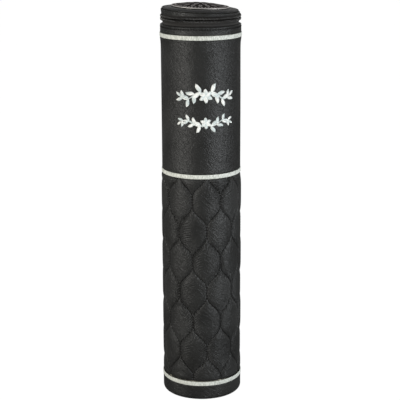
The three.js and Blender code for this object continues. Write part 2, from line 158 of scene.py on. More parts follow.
def gridFaces(rows, columns, closeRows=False, closeColumns=False):
    # One quad between each point of a grid, the next along its row and the same two a row on
    r = np.arange(rows if closeRows else rows - 1)[:, None]
    c = np.arange(columns if closeColumns else columns - 1)[None, :]
    nextRow, nextColumn = (r + 1) % rows, (c + 1) % columns
    here, beyond = r * columns, nextRow * columns
    corners = np.broadcast_arrays(here + c, here + nextColumn, beyond + nextColumn, beyond + c)
    return np.stack(corners, axis=-1).reshape(-1, 4)


def rodFaces(rings, sides):
    # The wall of a rod made of rings of points, and its two ends
    ends = [np.arange(sides)[::-1], (rings - 1) * sides + np.arange(sides)]
    return [gridFaces(rings, sides, closeColumns=True), np.array(ends)]


def discFaces(rings, columns):
    # Rings of points round the axis, and a fan at each end to one of the two poles that follow them
    column = np.arange(columns)
    beside = (column + 1) % columns
    pole, last = rings * columns, (rings - 1) * columns
    lowFan = np.stack([np.full(columns, pole), beside, column], axis=-1)
    highFan = np.stack([np.full(columns, pole + 1), last + column, last + beside], axis=-1)
    return [gridFaces(rings, columns, closeColumns=True), lowFan, highFan]


def repeated(faceGroups, pointsEach, copies):
    # The same faces for each copy of a shape, each copy's points after the last one's
    start = pointsEach * np.arange(copies)[:, None, None]
    return [(group[None] + start).reshape(-1, group.shape[1]) for group in faceGroups]


def joined(shapes):
    # Several closed shapes of points and faces as one
    starts = np.cumsum([0] + [len(points) for points, _ in shapes])
    faces = [group + start for start, (_, groups) in zip(starts, shapes) for group in groups]
    return np.concatenate([points for points, _ in shapes]), faces


def ringShape(points):
    # A closed outline carried right round, as a grid of points
    return points.reshape(-1, 3), [gridFaces(*points.shape[:2], closeRows=True, closeColumns=True)]


def addObject(name, data):
    item = bpy.data.objects.new(name, data)
    bpy.context.scene.collection.objects.link(item)
    return item


def putPiece(name, points, faces, finish, stands=None, body="case", slotName=None):
    # The mesh is turned out if the sum of its corner volumes comes out negative.
    points = np.asarray(points, float).reshape(-1, 3)
    volume = 0.0
    for group in faces:
        corner = points[group]
        for k in range(1, group.shape[1] - 1):
            volume += np.einsum("ij,ij->", corner[:, 0], np.cross(corner[:, k], corner[:, k + 1]))
    if volume < 0:
        faces = [group[:, ::-1] for group in faces]
    mesh = bpy.data.meshes.new(name)
    mesh.from_pydata(points.tolist(), [], [face for group in faces for face in group.tolist()])
    mesh.polygons.foreach_set("use_smooth", np.ones(len(mesh.polygons), bool))
    mesh.materials.append(finish)
    mesh.update()
    piece = addObject(name, mesh)
    if stands:
        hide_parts(stands)
    if body:
        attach(piece, body)
    return piece


def pointValues(piece, name, values):
    # A number kept on each point of a mesh, for its material
    attribute = piece.data.attributes.new(name, "FLOAT", "POINT")
    attribute.data.foreach_set("value", np.asarray(values, np.float32).ravel())


def softened(corners, steps=4):
    # A closed outline of [radius, height, rounding]: each corner becomes a curve that starts and ends the
    # rounding away from it, at most half way along each side, as a quadratic curve through the corner.
    corners = np.array(corners, float)
    outline = []
    for before, here, after in zip(np.roll(corners, 1, 0), corners, np.roll(corners, -1, 0)):
        if here[2] == 0:
            outline.append(here[:2])
            continue
        start, end = before[:2] - here[:2], after[:2] - here[:2]
        start *= min(0.499, here[2] / np.linalg.norm(start))
        end *= min(0.499, here[2] / np.linalg.norm(end))
        for t in np.linspace(0, 1, steps + 1):
            outline.append(here[:2] + start * (1 - t) ** 2 + end * t ** 2)
    return np.array(outline)


def section(inner, outer, low, high, roundings, steps=4):
    # A rectangle of radius and height, with its corners rounded in turn from the inner low one
    corners = [[inner, low], [outer, low], [outer, high], [inner, high]]
    return softened([[*corner, size] for corner, size in zip(corners, roundings)], steps)


def denser(outline, longest):
    # Points added evenly along each side of a closed outline that is longer than this
    added = []
    for here, after in zip(outline, np.roll(outline, -1, 0)):
        count = max(1, math.ceil(np.linalg.norm(after - here) / longest))
        added.append(here + (after - here) * np.arange(count)[:, None] / count)
    return np.concatenate(added)


def ringGrid(outline, columns):
    # An outline of radius and height carried round the axis: the radius, angle and height of each point
    return np.broadcast_arrays(outline[:, :1], turnSteps(columns), outline[:, 1:])


def putRing(name, points, finish, stands, body="case"):
    return putPiece(name, *ringShape(points), finish, stands, body)


def putDisc(name, outline, finish, stands, body="case", columns=120):
    # An outline that starts and ends on the axis, carried round it and closed by a point at each pole. On
    # the lid it leans with the lid.
    poles = [[0, 0, outline[0, 1]], [0, 0, outline[-1, 1]]]
    points = np.concatenate([around(*ringGrid(outline[1:-1], columns)).reshape(-1, 3), poles])
    if body == "lid":
        points = leaned(points)
    return putPiece(name, points, discFaces(len(outline) - 2, columns), finish, stands, body)


def rodAlong(path, radius, helper=(0.123, 0.456, 0.789), sides=12):
    # A round rod along a list of points: rings square to the path, closed at both ends
    ahead = unit(np.gradient(path, axis=0))
    side = unit(np.cross(ahead, helper))
    over = np.cross(ahead, side)
    spin = turnSteps(sides)[:, None]
    ring = np.cos(spin) * side[:, None] + np.sin(spin) * over[:, None]
    points = path[:, None] + np.reshape(radius, (-1, 1, 1)) * ring
    return points.reshape(-1, 3), rodFaces(len(path), sides)


def handLaid(angle, height, depth):
    # Slow swell of leather pulled over board by hand: a mean of four sine waves round and along the case
    waves = [(2, 61 * mm, 0.3), (3, -47 * mm, 1.9), (5, 33 * mm, 4.1), (9, -21 * mm, 2.6)]
    return depth * sum(np.sin(k * angle + height / size + shift) for k, size, shift in waves) / len(waves)


def putStitches(name, centre, along, out, length, thick, slotName="leatherette"):
    # A stitch lies along x and stands along z: rings of a round thread that thins and dips at both ends.
    # It is set at each centre, with x along the seam and z out of the leather.
    place = np.array([-1, -0.86, -0.45, 0.45, 0.86, 1])[:, None]
    girth = np.array([0.35, 0.8, 1, 1, 0.8, 0.35])[:, None]
    side = turnSteps(6)
    x = place * length / 2 + 0 * side
    y = girth * np.cos(side) * thick / 2
    z = girth * np.sin(side) * thick / 2 - place ** 4 * thick * 0.55
    along = unit(along)
    axes = np.stack([along, np.cross(out, along), out], axis=1)
    points = centre[:, None] + np.stack([x, y, z], axis=-1).reshape(-1, 3) @ axes
    putPiece(name, points, repeated(rodFaces(6, 6), 36, len(centre)), sewingThread, slotName=slotName)


def ringStitches(name, radius, height, pitch, gap, thick, slotName="leatherette", start=0.0, sweep=fullTurn):
    # A row of stitches at one height, over all or part of the turn
    count = round(radius * sweep / pitch)
    angle = start + (np.arange(count) + 0.5) * sweep / count
    along, out = turnAxes(angle)
    putStitches(name, around(radius, angle, height), along, out, pitch - gap, thick, slotName)


# Polyurethane leatherette, embossed with a pebble grain: a satin skin, a little shinier on the high spots
# The seam colour is a painted shade, laid into the leather's colour along the sewn grooves
leather = {
    "light": "#292928", "dark": "#1c1c1b", "seam": "#080707", "roughness": (0.31, 0.44), "specular": 0.22,
    "wear": 38 * mm, "grain": 1.2 * mm, "grainDepth": 0.45 * mm, "crease": 2.2 * mm, "creaseDepth": 1.9 * mm,
    "creaseSlantDeg": 38, "creaseStretch": 4.5,
}


def makeLeatherette(name, pucker=0.0, dashPitch=0.0):
    finish, tree, shader, place = newFinish(name, "leatherette", Specular_IOR_Level=leather["specular"])
    cells = {"Vector": place, "Scale": 1 / leather["grain"], "Smoothness": 0.6}
    grain = addNode(tree, "TexVoronoi", cells, feature="SMOOTH_F1")
    # Creases run up to one side, because the sheet was pulled round the board on the slant
    pulled = {"Vector": place, "Rotation": (0, math.radians(leather["creaseSlantDeg"]), 0),
              "Scale": (leather["creaseStretch"], 1, 1)}
    slanted = addNode(tree, "Mapping", pulled, vector_type="TEXTURE")
    look = {"Detail": 4.0, "Roughness": 0.62, "Distortion": 0.6}
    creases = pattern(tree, slanted, ("Noise", leather["crease"], look))
    wear = pattern(tree, place, ("Noise", leather["wear"], {"Detail": 3.0}))
    colour = addNode(tree, "ValToRGB", {"Fac": wear})
    for stop, share, shade in zip(colour.node.color_ramp.elements, (0.35, 0.65), ("dark", "light")):
        stop.position, stop.color = share, toLinear(leather[shade])
    smooth, rough = leather["roughness"]
    spots = {"Value": grain, "From Min": 0.1, "From Max": 0.75, "To Min": smooth, "To Max": rough}
    roughness = addNode(tree, "MapRange", spots)
    normal = addNode(tree, "Bump", {"Height": creases, "Strength": 0.5, "Distance": leather["creaseDepth"]})
    if pucker:
        # The sewn-down leather gathers across its seams: waves along the seam that fade away from it
        seam = pattern(tree, place, "seamShare")
        if dashPitch:
            # The painted shade is darkest along the middle of each stitch and lighter between, by a cosine of
            # the height
            height = addNode(tree, "SeparateXYZ", {"Vector": place}, output="Z")
            turns = addNode(tree, "Math", {0: height, 1: fullTurn / dashPitch}, operation="MULTIPLY")
            wave = addNode(tree, "Math", {0: turns}, operation="COSINE")
            dashes = {"Value": wave, "From Min": 0.5, "From Max": -0.4, "To Min": 0.1, "To Max": 0.95}
            dash = addNode(tree, "MapRange", dashes)
            seam = addNode(tree, "Math", {0: seam, 1: dash}, operation="MULTIPLY")
        gather = pattern(tree, place, "gather")
        waves = {"Height": gather, "Strength": 0.7, "Distance": pucker, "Normal": normal}
        normal = addNode(tree, "Bump", waves)
        # Painted shade: the colour is drawn towards the near-black seam colour along the grooves, by the seam
        # share
        shades = {0: seam, 6: colour, 7: toLinear(leather["seam"])}
        colour = addNode(tree, "Mix", shades, output=2, data_type="RGBA")
        roughness = addNode(tree, "Math", {0: roughness, 1: seam}, operation="MAXIMUM")
    pebbles = {"Height": grain, "Strength": 0.6, "Distance": leather["grainDepth"], "Normal": normal}
    linkShader(tree, shader, colour, roughness, addNode(tree, "Bump", pebbles, invert=True))
    return finish


# Woven metallic ribbon: flat silver yarn over a pale core, with painted glints and painted shade rib by rib
def makeRibbonFinish():
    look = {"Metallic": 0.1, "Specular_IOR_Level": 0.2}
    finish, tree, shader, place = newFinish("woven_metallic_ribbon", "ribbon", **look)
    # Flecks stand upright, like the yarns: the pattern is stretched along z
    upright = addNode(tree, "Mapping", {"Vector": place, "Scale": (1, 1, 0.3)})
    glint = pattern(tree, upright, ("Voronoi", 0.9 * mm, {}))
    patches = pattern(tree, upright, ("Noise", 2.2 * mm, {"Detail": 3.0}))
    tone = toLinear("#d8d9cd")
    # Painted shade: grey between the ribs, along the two faint lines and at the edges. Painted glint: bright
    # flecks. The patches are the yarn's own tone.
    for share, other in ((patches, "#9da39a"), (pattern(tree, place, "rib"), "#8b918a"), (glint, "#e6e6df")):
        tone = addNode(tree, "Mix", {0: share, 6: toLinear(other), 7: tone}, output=2, data_type="RGBA")
    wireUp(tree, shader, tone, glint, (0.55, 0.7), glint, (0.5, 0.1 * mm))
    return finish


# Pressed plate with an antique finish: dark in the ground, rubbed to a pinkish silver on the relief
def makeRelief():
    finish, tree, shader, place = newFinish("antiqued_pressed_plate", "relief", Specular_IOR_Level=0.06)
    raised = pattern(tree, place, "raised")
    tarnish = pattern(tree, place, ("Noise", 3 * mm, {"Detail": 5.0, "Roughness": 0.7}))
    rubbed = addNode(tree, "MapRange", {"Value": raised, "From Min": 0.62, "From Max": 0.95})
    ground, silver = ({0: tarnish, 6: toLinear(dark), 7: toLinear(light)}
                      for dark, light in (("#191413", "#322a29"), ("#c4bab8", "#ece6e4")))
    low, high = (addNode(tree, "Mix", shades, output=2, data_type="RGBA") for shades in (ground, silver))
    tone = addNode(tree, "Mix", {0: rubbed, 6: low, 7: high}, output=2, data_type="RGBA")
    wireUp(tree, shader, tone, raised, (0.8, 0.5), tarnish, (0.25, 0.1 * mm))
    return finish


leatherette = makeLeatherette("embossed_leatherette")
quiltedLeatherette = makeLeatherette("embossed_leatherette_quilted", pucker=0.8 * mm, dashPitch=3.0 * mm)
sewnLeatherette = makeLeatherette("embossed_leatherette_folded_and_sewn", pucker=0.35 * mm)
ribbonFinish = makeRibbonFinish()
relief = makeRelief()
# Bonded polyester sewing thread: twisted plies, dull black with a slight sheen
sewingThread = patternedFinish(
    "sewing_thread", "leatherette", ("#0b0a0a", "#1e1c1a"), (0.5, 0.75), ("Noise", 0.5 * mm, {"Detail": 2.0}),
    (0.5, 0.08 * mm), Specular_IOR_Level=0.1)
# Rayon satin stitch in silver grey: each thread lies bare, and its tone from bluish grey to near white is
# painted sheen and shade
satinThread = patternedFinish(
    "rayon_satin_stitch", "thread", ("#b2c0c0", "#ebebe6"), (0.3, 0.5), ("Noise", 0.7 * mm, {"Detail": 3.0}),
    (0.3, 0.06 * mm), tone="strand", Metallic=0.1, Sheen_Weight=0.3)
# Grey board, pulped and pressed: matt, with specks of fibre
greyBoard = patternedFinish(
    "grey_board", "board", ("#7c7466", "#a59d8c"), (0.82, 0.95),
    ("Noise", 1.2 * mm, {"Detail": 5.0, "Roughness": 0.7}), (0.4, 0.1 * mm), Specular_IOR_Level=0.2)
# Cut polyurethane foam: open cells, chalky and matt
foamFinish = patternedFinish(
    "open_cell_foam", "foam", ("#b9b29d", "#e2ddcc"), (0.88, 0.98), ("Voronoi", 0.8 * mm, {}),
    (0.6, 0.3 * mm), Specular_IOR_Level=0.2)
# Flocked velvet lining: short pile that catches light at its edges and lies in soft patches
velvet = patternedFinish(
    "flocked_velvet", "lining", ("#161417", "#2a272b"), (0.85, 1.0), ("Noise", 0.6 * mm, {"Detail": 2.0}),
    (0.6, 0.2 * mm), tone=("Noise", 14 * mm, {"Detail": 4.0, "Distortion": 0.8}), Sheen_Weight=0.6,
    Sheen_Roughness=0.4, Specular_IOR_Level=0.15)
# Woven polyester zip tape: fine upright ribs, matt black, with painted shade between the ribs
tapeFinish = patternedFinish(
    "woven_zip_tape", "tape", ("#151413", "#312f2d"), (0.7, 0.92), ("Noise", 0.5 * mm, {"Detail": 3.0}),
    (0.5, 0.1 * mm), tone="rib", Sheen_Weight=0.2, Specular_IOR_Level=0.25)
# Drawn nylon monofilament, dyed black: smooth, a soft highlight along each turn
nylon = patternedFinish(
    "nylon_monofilament", "nylon", ("#201f1e", "#373532"), (0.32, 0.5), ("Noise", 2 * mm, {"Detail": 2.0}),
    (0.2, 0.05 * mm), IOR=1.53)
# Baked enamel on a zinc casting: glossy black with a faint orange-peel ripple
enamel = patternedFinish(
    "baked_enamel", "enamel", ("#121213", "#242425"), (0.2, 0.42),
    ("Noise", 4 * mm, {"Detail": 6.0, "Roughness": 0.7}), (0.15, 0.08 * mm),
    ripple=("Noise", 1.5 * mm, {"Detail": 2.0}), Coat_Weight=0.5, Coat_Roughness=0.08)
# Turned and brushed steel rim: bright, with fine uneven marks
rimFinish = patternedFinish(
    "brushed_steel_rim", "rim", ("#b3aeab", "#dedad6"), (0.5, 0.62), ("Noise", 1.2 * mm, {"Detail": 4.0}),
    (0.2, 0.05 * mm), Metallic=0.9)
print("finishes made")


# Levels and radii, read from the frame
def extent(node):
    # A ring's lowest and highest level and its outer radius
    low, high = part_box(node)
    return low.z, high.z, high.x


wrapLow, wrapHigh, _ = extent("upper_wrap")
quiltLow, quiltHigh, quiltCrown = extent("quilted_sleeve")
collarLow, collarHigh, collarRadius = extent("collar_band")
footHigh = extent("base_cover")[1]
lowerCoilLow, _, coilRadius = extent("lower_zip_coil")
upperCoilHigh = extent("upper_zip_coil")[1]
trimLevels = {place: extent("trim_" + place) for place in ("bottom", "middle", "top")}
wall = {"leather": 1 * mm, "sink": 0.4 * mm, "fit": 0.3 * mm, "coilDepth": 2.2 * mm, "tape": 0.5 * mm,
        "ribbon": 0.5 * mm, "lining": 0.8 * mm, "foam": 1.2 * mm}
softEdge, crispEdge, threadDeep = 0.3 * mm, 0.2 * mm, 0.12 * mm
# The leather's radius under each ribbon, from the ribbon's own: at the foot, in the middle and at the mouth
ribbonProud = wall["fit"] + wall["ribbon"] - wall["sink"]
footRadius, caseRadius, mouthRadius = (outer - ribbonProud for _, _, outer in trimLevels.values())
wrapInner = caseRadius - wall["leather"]
coilInner = coilRadius - wall["coilDepth"]
tapeOuter = coilInner - wall["fit"]


# Foot: a rounded corner turned under the case, gathered where the round cut edge is drawn in
foot = {"corner": 3.8 * mm, "fold": 6.2 * mm, "gathers": 64, "gatherDepth": 0.35 * mm, "inset": 1.5 * mm,
        "gatherFade": 4 * mm, "wobble": 0.1 * mm, "wobbleFade": 3 * mm, "columns": 384}


def makeFoot():
    thick = wall["leather"]
    innerEdge = caseRadius - foot["corner"] - foot["fold"]
    seatRadius = footRadius - wall["sink"]
    seatZ = trimLevels["bottom"][0] - wall["fit"]
    outline = denser(softened([
        [innerEdge, 0, softEdge],
        [footRadius, 0, foot["corner"]],
        [footRadius, seatZ - wall["sink"], softEdge],
        [seatRadius, seatZ, crispEdge],
        [seatRadius, footHigh, crispEdge],
        [wrapInner, footHigh, 0],
        [wrapInner, thick, foot["corner"] - thick],
        [innerEdge, thick, softEdge],
    ], steps=8), 1.5 * mm)
    radius, angle, height = ringGrid(outline, foot["columns"])
    # Gathers: radial waves under the foot that die out where the side begins
    under = np.clip((footRadius - foot["inset"] - radius) / foot["gatherFade"], 0, 1) * (height < thick / 2)
    wave = np.sin(foot["gathers"] * angle + 2 * np.sin(3 * angle)) * 0.5 + 0.5
    side = np.clip((height - foot["corner"]) / foot["wobbleFade"], 0, 1) * (radius > seatRadius + crispEdge)
    points = around(radius + handLaid(angle, height, foot["wobble"]) * side, angle,
                    height + foot["gatherDepth"] * wave * under)
    cover = putRing("foot_cover", points, leatherette, "base_cover")
    edge = innerEdge - wall["fit"]
    disc = putDisc("underside", section(0, edge, 0, thick, (0, softEdge, crispEdge, 0)), leatherette,
                   "underside_disc")


makeFoot()
print("foot made")


# Quilting: stitched lines swing left and right of their places and meet in short upright joins
quilt = {
    "lines": 17, "rowPitch": 33.2 * mm, "topRow": 24.6 * mm, "turnDeg": 7.7, "pinch": 0.4 * mm,
    "straightShare": 0.16, "columnsEach": 20, "rows": 284, "sunk": 0.6 * mm, "groove": 0.36 * mm,
    "grooveWidth": 0.6 * mm, "stitch": 3.0 * mm, "holeDepth": 0.5 * mm, "gather": 0.33 * mm,
    "gatherPitch": 2.7 * mm, "gatherReach": 5.5 * mm, "thread": 0.5 * mm, "edge": 5 * mm, "bulge": 3.0,
    "gatherSlant": 0.9, "gatherSway": 0.8 * mm, "gatherGap": 12 * mm, "stitchLength": 2.3 * mm,
}
quiltStep = fullTurn / quilt["lines"]
quiltSeam = math.radians(quilt["turnDeg"]) + (quilt["lines"] - 1) / 2 * quiltStep
firstRow = trimLevels["middle"][0] - quilt["topRow"]


def lineSwing(height):
    # 1 and -1 at the joins of alternate rows, held there over the upright share, and a cosine between
    rows = (firstRow - height) / quilt["rowPitch"]
    nearest = np.round(rows)
    free = (np.abs(rows - nearest) - quilt["straightShare"]) / (0.5 - quilt["straightShare"])
    side = np.where(nearest % 2 == 0, -1, 1)
    return side * np.cos(np.pi / 2 * np.clip(free, 0, 1))


def lineAngle(line, height):
    # Each line's own place, half a step after the seam, plus or minus its swing
    side = np.where(line % 2 == 0, 1, -1)
    reach = quiltStep / 2 - quilt["pinch"] / caseRadius
    return quiltSeam + (line + 0.5) * quiltStep + side * reach * lineSwing(height)


def quiltRadius(share, gap, toLine, height, angle):
    # A pillow between its two lines, lower where they draw together and at both ends of the sleeve,
    # less a narrow groove along each line with a deeper hole at each stitch's end, plus gathers
    # that run off the line at a slant.
    full = np.sin(np.pi / 2 * np.minimum(1, gap / (2 * quiltStep * caseRadius)))
    ends = np.minimum(height - quiltLow, quiltHigh - height) / quilt["edge"]
    full = full * (0.3 + 0.7 * np.sin(np.pi / 2 * np.clip(ends, 0, 1)))
    pillow = 1 - np.abs(2 * share - 1) ** quilt["bulge"]
    groove = bell(toLine, quilt["grooveWidth"])
    hole = (0.5 + 0.5 * np.cos(fullTurn * height / quilt["stitch"])) ** 3
    sway = quilt["gatherSway"] * np.sin(5 * angle + height / (9 * mm))
    slant = height + quilt["gatherSlant"] * toLine + sway
    fade = np.exp(-toLine / quilt["gatherReach"]) * (1 - groove) * np.clip(gap / quilt["gatherGap"], 0, 1)
    gathers = np.sin(fullTurn * slant / quilt["gatherPitch"]) * fade
    gathers = gathers * (0.6 + 0.4 * np.sin(3.7 * angle + height / (17 * mm)))
    rise = (quiltCrown - caseRadius + quilt["sunk"]) * full * pillow + quilt["gather"] * gathers
    sunk = np.clip(gap / (3 * mm), 0.35, 1) * quilt["groove"] + hole * quilt["holeDepth"]
    radius = caseRadius - quilt["sunk"] + rise - groove * sunk
    return np.clip(radius, wrapInner + 0.05 * mm, quiltCrown), groove, gathers


def makeQuilt():
    count, rows = quilt["columnsEach"], quilt["rows"]
    height = np.linspace(quiltLow, quiltHigh, rows)[:, None, None]
    line = np.arange(quilt["lines"])[None, :, None]
    share = (0.5 - 0.5 * np.cos(np.pi * np.arange(count) / count))[None, None, :]
    here, beyond = lineAngle(line, height), lineAngle(line + 1, height)
    beyond = np.where(line + 1 == quilt["lines"], lineAngle(0 * line, height) + fullTurn, beyond)
    angle = here + (beyond - here) * share
    gap = (beyond - here) * caseRadius
    radius, groove, gathers = quiltRadius(share, gap, gap * np.minimum(share, 1 - share), height, angle)
    outside = around(radius, angle, height).reshape(rows, -1, 3)
    columns = outside.shape[1]
    even = quiltSeam + quiltStep / 2 + turnSteps(columns)
    inside = around(wrapInner, even, np.array([quiltHigh, quiltLow])[:, None])
    sleeve = putRing("quilted_cover", np.concatenate([outside, inside]), quiltedLeatherette, "quilted_sleeve")
    blank = np.zeros(2 * columns)
    # Painted shade along each stitched line: the groove's share darkens the leather's colour there
    pointValues(sleeve, "seamShare", np.concatenate([groove.ravel(), blank]))
    pointValues(sleeve, "gather", np.concatenate([gathers.ravel(), blank]))


def makeQuiltStitches():
    # Stitches half a pitch off the holes, along each line, with the line's own slope
    margin, step = 1 * mm, 0.5 * mm
    count = int((quiltHigh - quiltLow - 2 * margin) / quilt["stitch"])
    first = math.ceil((quiltLow + margin) / quilt["stitch"])
    height = ((first + np.arange(count) + 0.5) * quilt["stitch"])[None, :]
    height = height[:, height[0] < quiltHigh - margin]
    line = np.arange(quilt["lines"])[:, None]
    angle = lineAngle(line, height)
    slope = (lineAngle(line, height + step) - lineAngle(line, height - step)) / (2 * step)
    radius = caseRadius - quilt["sunk"] - threadDeep
    centre = around(radius, angle, height).reshape(-1, 3)
    out = turnAxes(angle)[1].reshape(-1, 3)
    along = around(slope * radius, angle + np.pi / 2, 1.0).reshape(-1, 3)
    putStitches("quilt_stitches", centre, along, out, quilt["stitchLength"], quilt["thread"])


makeQuilt()
makeQuiltStitches()
print("quilting made")


# Plain leatherette above, with a lapped and stitched seam at the back
plain = {
    "wobble": 0.14 * mm, "ribbonFade": 6 * mm, "lap": 0.28 * mm, "lapEdge": 0.25 * mm, "lapStart": 60 * mm,
    "lapFade": 50 * mm, "overlap": 6 * mm, "stitch": 3.2 * mm, "stitchLength": 2.4 * mm,
    "stitchInset": 1.6 * mm, "endGap": 3 * mm, "thread": 0.5 * mm, "flare": 14 * mm, "columns": 480,
}


def makePlain():
    bottom = trimLevels["middle"][1] + wall["fit"]
    top = trimLevels["top"][0] - wall["fit"]
    lowSeat, highSeat = caseRadius - wall["sink"], mouthRadius - wall["sink"]
    edge = top - wall["sink"]
    outline = denser(softened([
        [wrapInner, wrapLow, 0],
        [lowSeat, wrapLow, crispEdge],
        [lowSeat, bottom, crispEdge],
        [caseRadius, bottom + wall["sink"], 0.4 * mm],
        [caseRadius, edge - plain["flare"] / 2, plain["flare"] / 2],
        [mouthRadius, edge, 0.4 * mm],
        [highSeat, top, crispEdge],
        [highSeat, wrapHigh, crispEdge],
        [wrapInner, wrapHigh, 0],
    ]), 3 * mm)
    radius, angle, height = ringGrid(outline, plain["columns"])
    # The swell of hand-laid leather, dying out at the ribbons, with the step of the lap at the back
    side = np.clip(np.minimum(height - bottom, top - height) / plain["ribbonFade"], 0, 1) * (radius > lowSeat)
    fromLap = (angle - np.pi) * caseRadius
    lap = 0.5 - 0.5 * np.tanh(fromLap / plain["lapEdge"])
    lap = lap * np.clip((fromLap + plain["lapStart"]) / plain["lapFade"], 0, 1)
    grown = radius + (handLaid(angle, height, plain["wobble"]) - 0.1 * mm + lap * plain["lap"]) * side
    cover = putRing("plain_cover", around(grown, angle, height), leatherette, "upper_wrap")
    count = int((top - bottom - 2 * plain["endGap"]) / plain["stitch"])
    height = bottom + plain["endGap"] + (np.arange(count) + 0.5) * plain["stitch"]
    angle = np.full(count, np.pi - plain["stitchInset"] / caseRadius)
    centre = around(caseRadius + plain["lap"] - 0.05 * mm, angle, height)
    upright = np.tile([0.0, 0.0, 1.0], (count, 1))
    out = turnAxes(angle)[1]
    putStitches("back_seam_stitches", centre, upright, out, plain["stitchLength"], plain["thread"])


# Collar: a folded edge with a row of stitches just under the fold
collar = {"roll": 1.0 * mm, "stitchDrop": 2.5 * mm, "stitch": 2.8 * mm, "gap": 0.8 * mm, "thread": 0.7 * mm,
          "groove": 0.6 * mm, "grooveWidth": 1.0 * mm, "columns": 576}


def makeCollar():
    seamZ = collarHigh - collar["stitchDrop"]
    roundings = (0, softEdge, collar["roll"], softEdge)
    outline = denser(section(coilInner, collarRadius, collarLow, collarHigh, roundings, 8), 0.5 * mm)
    radius, angle, height = ringGrid(outline, collar["columns"])
    # A groove where the seam draws the fold in, deeper at each stitch
    near = bell(height - seamZ, collar["grooveWidth"])
    beat = np.cos(angle * round(fullTurn * collarRadius / collar["stitch"]))
    outer = np.clip((radius - coilInner - 0.8 * mm) / (0.5 * mm), 0, 1)
    points = around(radius - collar["groove"] * near * (0.6 + 0.4 * beat) * outer, angle, height)
    cover = putRing("collar_cover", points, sewnLeatherette, "collar_band")
    near = near * (radius > coilInner + 1 * mm)
    # Painted shade along the seam's groove, dark at each stitch and lighter between
    pointValues(cover, "seamShare", near * (0.15 + 0.85 * np.clip(0.8 - beat, 0, 1)))
    pointValues(cover, "gather", near * beat)
    ringStitches("collar_stitches", collarRadius - threadDeep, seamZ, collar["stitch"], collar["gap"],
                 collar["thread"])


makePlain()
makeCollar()
print("plain leather and collar made")


# Ribbons: upright ribs of silver yarn between two firm edges, with two faint lines along them
ribbon = {"ribPitch": 1.0 * mm, "ribHeight": 0.09 * mm, "firm": 0.12 * mm, "lineDepth": 0.06 * mm, "rows": 14}


def makeRibbons():
    for place, (low, high, outer) in trimLevels.items():
        inner = outer - wall["ribbon"]
        firm = inner + ribbon["firm"]
        ribs = round(fullTurn * outer / ribbon["ribPitch"])
        share = np.linspace(0, 1, ribbon["rows"])
        crown = (1 - np.abs(2 * share - 1) ** 6) ** 0.5
        line = bell(share - 0.36, 0.05) + bell(share - 0.68, 0.05)
        face = np.stack([firm + (outer - firm) * crown - ribbon["lineDepth"] * line,
                         low + (high - low) * share], axis=-1)
        rise = np.concatenate([crown * (1 - 0.5 * line), [0, 0]])[:, None]
        radius, angle, height = ringGrid(np.concatenate([face, [[inner, high], [inner, low]]]), 4 * ribs)
        wave = 0.5 + 0.5 * np.cos(angle * ribs + 0.8 * np.sin(height / (0.7 * mm)))
        points = around(radius - ribbon["ribHeight"] * (1 - wave) * rise, angle, height)
        piece = putRing("ribbon_" + place, points, ribbonFinish, "trim_" + place)
        # Rib share: 1 on a rib's crest, less in the valleys, the faint lines and the edges, where the finish
        # paints shade
        pointValues(piece, "rib", wave * np.clip(rise, 0.25, 1))


makeRibbons()
print("ribbons made")


# Tube, padding and lining. The boards keep their own shape and take a finish.
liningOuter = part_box("bottom_lining")[1].x
liningInner = liningOuter - wall["lining"]


def makeInside():
    for node in ("core_tube", "bottom_board", "lid_board"):
        board = frame["nodes"][node]
        board.data.materials.clear()
        board.data.materials.append(greyBoard)
    low, high, outer = extent("foam_wrap")
    outline = section(outer - wall["foam"], outer, low, high, (0, crispEdge, crispEdge, 0))
    foam = putRing("foam_sheet", around(*ringGrid(outline, 180)), foamFinish, "foam_wrap")
    low, high, lip = extent("tube_lining")
    underLip = high - wall["lining"]
    outline = denser(softened([
        [liningInner, low, 0],
        [liningOuter, low, 0],
        [liningOuter, underLip, 0],
        [lip, underLip, 0.1 * mm],
        [lip, high, 0.4 * mm],
        [liningInner, high, 0.8 * mm],
    ]), 12 * mm)
    radius, angle, height = ringGrid(outline, 240)
    # Glued cloth: its face lies a little deeper here and there, and never out in the open space
    deeper = 0.12 * mm
    face = radius < liningInner + 0.1 * mm
    points = around(radius + (deeper + handLaid(angle, height, deeper)) * face, angle, height)
    cloth = putRing("velvet_tube", points, velvet, "tube_lining")
    low, high, outer = extent("bottom_lining")
    disc = putDisc("velvet_floor", section(0, outer, low, high, (0, crispEdge, softEdge, 0)), velvet,
                   "bottom_lining")


makeInside()
print("inside made")


# Zip: two woven tapes, and on each a coil of nylon turns sewn on, whose heads reach past the middle
zipper = {"pitch": 1.45 * mm, "wire": 0.62 * mm, "reach": 0.42 * mm, "ribPitch": 0.8 * mm,
          "ribDepth": 0.06 * mm, "sides": 5, "steps": 12, "squareness": 0.75, "stitch": 2.2 * mm,
          "gap": 0.5 * mm, "thread": 0.4 * mm, "threadProud": 0.12 * mm, "seamDrop": 1.1 * mm}
tabArc = 40 * mm
coilHalfGap = (tabArc / 2 + wall["fit"]) / collarRadius


def makeTapePiece(name, node, body):
    low, high, _ = extent(node)
    inner = tapeOuter - wall["tape"]
    ribs = round(fullTurn * tapeOuter / zipper["ribPitch"])
    outline = denser(section(inner, tapeOuter, low, high, [0.1 * mm] * 4, 2), 1.6 * mm)
    radius, angle, height = ringGrid(outline, 3 * ribs)
    wave = 0.5 + 0.5 * np.cos(angle * ribs + 0.4 * np.sin(height / (0.9 * mm)))
    ribbed = zipper["ribDepth"] * (1 - wave) * (radius > inner + 0.2 * mm)
    piece = putRing(name, around(radius - ribbed, angle, height), tapeFinish, node, body)
    # Rib share for the finish's painted shade: 1 on the crests, 0 in the valleys between ribs
    pointValues(piece, "rib", wave)
    return piece


